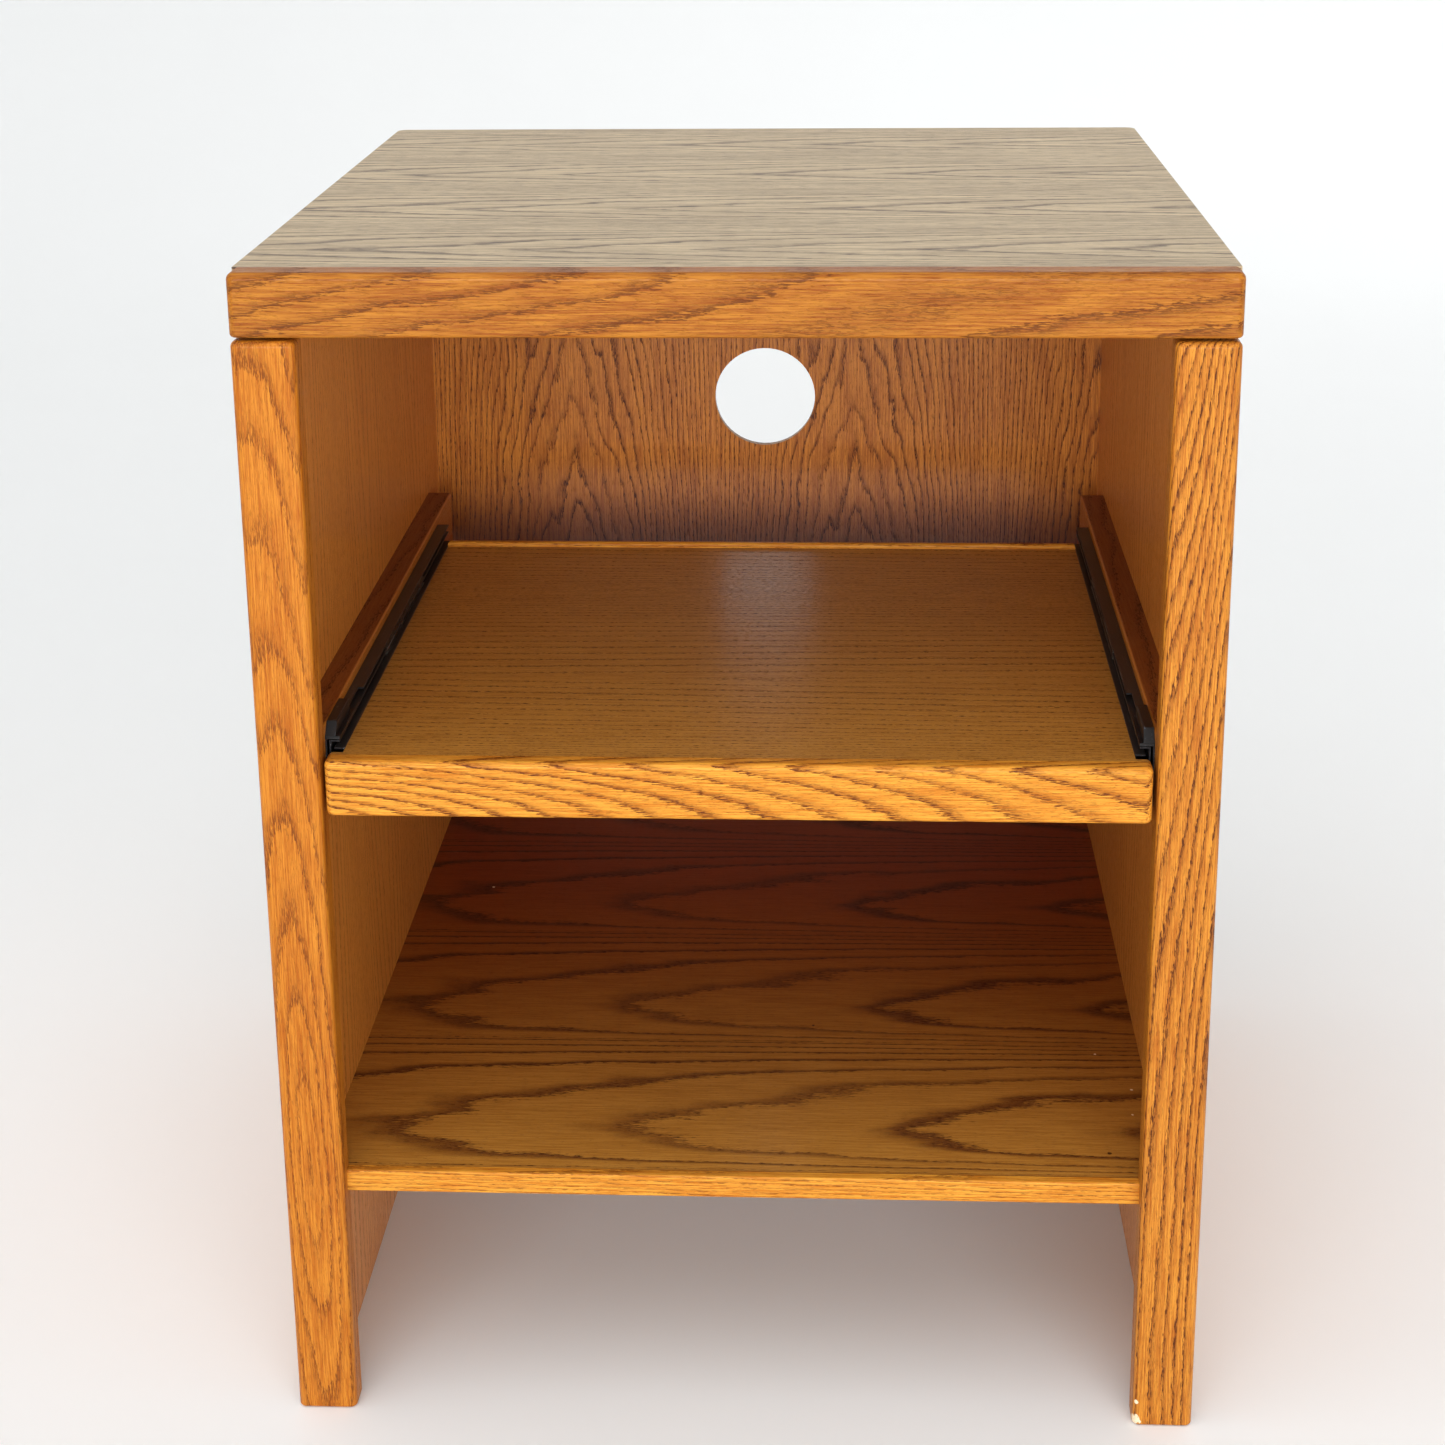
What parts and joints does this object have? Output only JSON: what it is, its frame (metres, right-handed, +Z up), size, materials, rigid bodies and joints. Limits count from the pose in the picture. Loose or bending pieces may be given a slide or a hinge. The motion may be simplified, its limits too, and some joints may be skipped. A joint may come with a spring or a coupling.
{
  "type": "media cabinet",
  "caption": "Open oak media cabinet with a thick laminate top, a pull-out shelf on ball slides, a fixed lower shelf and a round cable hole in the back.",
  "frame": {"origin": "on the floor, at the middle of the plan", "axes": "+Z up, -Y out of the open front, +X to the right when facing the front"},
  "size_m": [0.61, 0.61, 0.794],
  "materials": {
    "laminate": "oak-grain plastic laminate, low sheen",
    "solid_oak": "honey oak, satin lacquer",
    "oak_veneer": "oak veneer, satin lacquer",
    "core_board": "raw particle board",
    "black_steel": "black coated steel, semi-gloss",
    "zinc_steel": "zinc plated, a little worn",
    "ball_steel": "polished",
    "black_plastic": "moulded nylon, satin",
    "screw_steel": "zinc plated",
    "dowel_beech": "raw beech"
  },
  "bodies": {
    "cabinet": {"top_core": "core_board", "top_laminate": "laminate", "top_edging": "laminate", "top_front_band": "solid_oak", "left_side_panel": "oak_veneer", "right_side_panel": "oak_veneer", "left_front_post": "solid_oak", "right_front_post": "solid_oak", "left_spacer": "solid_oak", "right_spacer": "solid_oak", "left_top_cleat": "solid_oak", "right_top_cleat": "solid_oak", "back_panel": "oak_veneer", "lower_shelf": "oak_veneer", "lower_shelf_strip": "solid_oak", "top_cleat_screws": "screw_steel", "spacer_screws": "screw_steel", "slide_screws": "screw_steel", "post_dowels": "dowel_beech", "back_panel_nails": "screw_steel", "left_slide_cabinet_member": "black_steel", "left_slide_guide_cap": "black_plastic", "right_slide_cabinet_member": "black_steel", "right_slide_guide_cap": "black_plastic"},
    "pull_out_shelf": {"pull_out_panel": "core_board", "pull_out_veneer": "oak_veneer", "pull_out_back_strip": "solid_oak", "pull_out_front_rail": "solid_oak", "pull_out_left_runner": "solid_oak", "pull_out_right_runner": "solid_oak", "pull_out_screws": "screw_steel", "drawer_member_screws": "screw_steel", "left_slide_drawer_member": "black_steel", "right_slide_drawer_member": "black_steel"},
    "left_middle_member": {"left_slide_middle_member": "zinc_steel"},
    "left_outer_cage": {"left_slide_outer_cage": "zinc_steel", "left_slide_outer_balls": "ball_steel"},
    "left_inner_cage": {"left_slide_inner_cage": "zinc_steel", "left_slide_inner_balls": "ball_steel"},
    "right_middle_member": {"right_slide_middle_member": "zinc_steel"},
    "right_outer_cage": {"right_slide_outer_cage": "zinc_steel", "right_slide_outer_balls": "ball_steel"},
    "right_inner_cage": {"right_slide_inner_cage": "zinc_steel", "right_slide_inner_balls": "ball_steel"}
  },
  "joints": [
    {"name": "pull_out_slide", "type": "slide", "parent": "cabinet", "child": "pull_out_shelf", "axis": [0, -1, 0], "range_m": [0, 0.45]},
    {"name": "left_middle_member_slide", "type": "slide", "parent": "cabinet", "child": "left_middle_member", "axis": [0, -1, 0], "range_m": [0, 0.225]},
    {"name": "left_outer_cage_slide", "type": "slide", "parent": "cabinet", "child": "left_outer_cage", "axis": [0, -1, 0], "range_m": [0, 0.1125]},
    {"name": "left_inner_cage_slide", "type": "slide", "parent": "cabinet", "child": "left_inner_cage", "axis": [0, -1, 0], "range_m": [0, 0.3375]},
    {"name": "right_middle_member_slide", "type": "slide", "parent": "cabinet", "child": "right_middle_member", "axis": [0, -1, 0], "range_m": [0, 0.225]},
    {"name": "right_outer_cage_slide", "type": "slide", "parent": "cabinet", "child": "right_outer_cage", "axis": [0, -1, 0], "range_m": [0, 0.1125]},
    {"name": "right_inner_cage_slide", "type": "slide", "parent": "cabinet", "child": "right_inner_cage", "axis": [0, -1, 0], "range_m": [0, 0.3375]}
  ],
  "couplings": [
    {"joint": "left_middle_member_slide", "follows": "pull_out_slide", "ratio": 0.5},
    {"joint": "left_outer_cage_slide", "follows": "pull_out_slide", "ratio": 0.25},
    {"joint": "left_inner_cage_slide", "follows": "pull_out_slide", "ratio": 0.75},
    {"joint": "right_middle_member_slide", "follows": "pull_out_slide", "ratio": 0.5},
    {"joint": "right_outer_cage_slide", "follows": "pull_out_slide", "ratio": 0.25},
    {"joint": "right_inner_cage_slide", "follows": "pull_out_slide", "ratio": 0.75}
  ]
}
